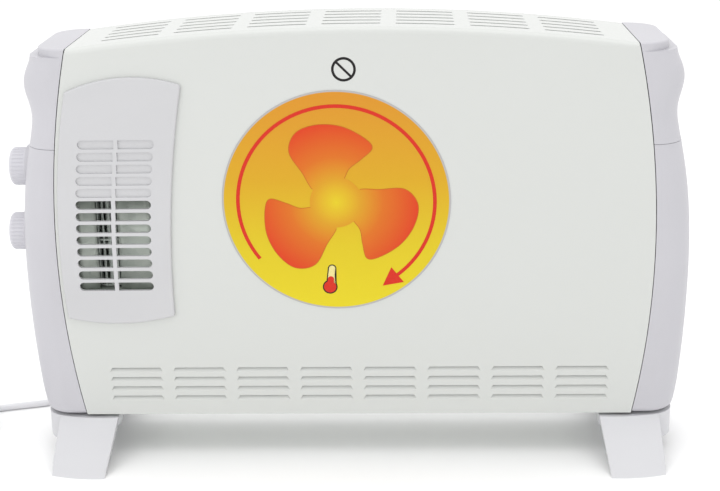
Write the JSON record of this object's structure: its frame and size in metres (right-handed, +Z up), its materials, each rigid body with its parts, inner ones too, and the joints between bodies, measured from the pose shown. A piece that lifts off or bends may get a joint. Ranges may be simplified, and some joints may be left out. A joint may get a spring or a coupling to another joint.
{
  "type": "fan convector heater",
  "caption": "Free-standing convector heater with crowned slotted top, moulded end caps with grips and rotary controls, booster blower and splayed feet.",
  "frame": {"origin": "on the floor, at the middle of the footprint of the heater without its cord, knobs included", "axes": "+X along the heater to its right seen from the front, +Y from front to back, +Z up"},
  "size_m": [0.7553, 0.2203, 0.4009],
  "materials": {
    "white_steel": "satin powder coat",
    "cover_plastic": "fine moulded texture",
    "cap_plastic": "fine moulded texture",
    "foot_plastic": "fine moulded texture",
    "knob_plastic": "satin",
    "galvanised": "galvanised sheet",
    "motor_steel": "laminated",
    "aluminium": "bare",
    "mica": "pressed mica sheet",
    "element_alloy": "oxidised",
    "copper_coil": "varnished winding",
    "bronze": "sintered",
    "dark_moulding": "moulded",
    "screw_steel": "zinc plated",
    "label_film": "printed film",
    "wire_pvc": "insulated wire",
    "cord_pvc": "cord sheath",
    "pin_nickel": "nickel plated"
  },
  "bodies": {
    "casing": {"front_panel": "white_steel", "back_panel": "white_steel", "base_plate": "galvanised", "side_frame_left": "galvanised", "side_frame_right": "galvanised", "left_upper_cap": "cap_plastic", "right_upper_cap": "cap_plastic", "left_lower_cap": "cap_plastic", "right_lower_cap": "cap_plastic", "fan_cover": "cover_plastic", "front_label": "label_film", "left_foot": "foot_plastic", "right_foot": "foot_plastic", "blower_housing": "galvanised", "motor_stack": "motor_steel", "motor_coil": "copper_coil", "lower_bush": "bronze", "motor_bushes": "bronze", "motor_brackets": "galvanised", "motor_posts": "screw_steel", "heat_shield": "galvanised", "element_brackets": "galvanised", "mica_cross_1": "mica", "mica_cross_2": "mica", "heating_ribbon_1": "element_alloy", "heating_ribbon_2": "element_alloy", "thermal_cutout": "dark_moulding", "control_bracket": "galvanised", "thermostat": "dark_moulding", "selector_switch": "dark_moulding", "terminal_block": "dark_moulding", "internal_wiring": "wire_pvc", "cap_screws": "screw_steel", "foot_screws": "screw_steel", "cord_gland": "cap_plastic", "mains_cord": "cord_pvc", "cord_coil": "cord_pvc", "cord_tail": "cord_pvc", "mains_plug": "cap_plastic", "plug_pins": "pin_nickel"},
    "blower_rotor": {"blower_impeller": "aluminium", "blower_shaft": "screw_steel", "motor_rotor": "motor_steel"},
    "thermostat_dial": {"thermostat_knob": "knob_plastic", "thermostat_spindle": "bronze"},
    "selector_dial": {"selector_knob": "knob_plastic", "selector_spindle": "bronze"}
  },
  "joints": [
    {"name": "blower_spin", "type": "hinge", "parent": "casing", "child": "blower_rotor", "pos_m": [-0.2137, -0.014, 0.2095], "axis": [0, 0, 1], "continuous": true},
    {"name": "thermostat_turn", "type": "hinge", "parent": "casing", "child": "thermostat_dial", "pos_m": [-0.2917, -0.007, 0.271], "axis": [1, 0, 0], "range_deg": [0, 270]},
    {"name": "selector_turn", "type": "hinge", "parent": "casing", "child": "selector_dial", "pos_m": [-0.2967, -0.007, 0.21], "axis": [1, 0, 0], "range_deg": [0, 180]}
  ]
}
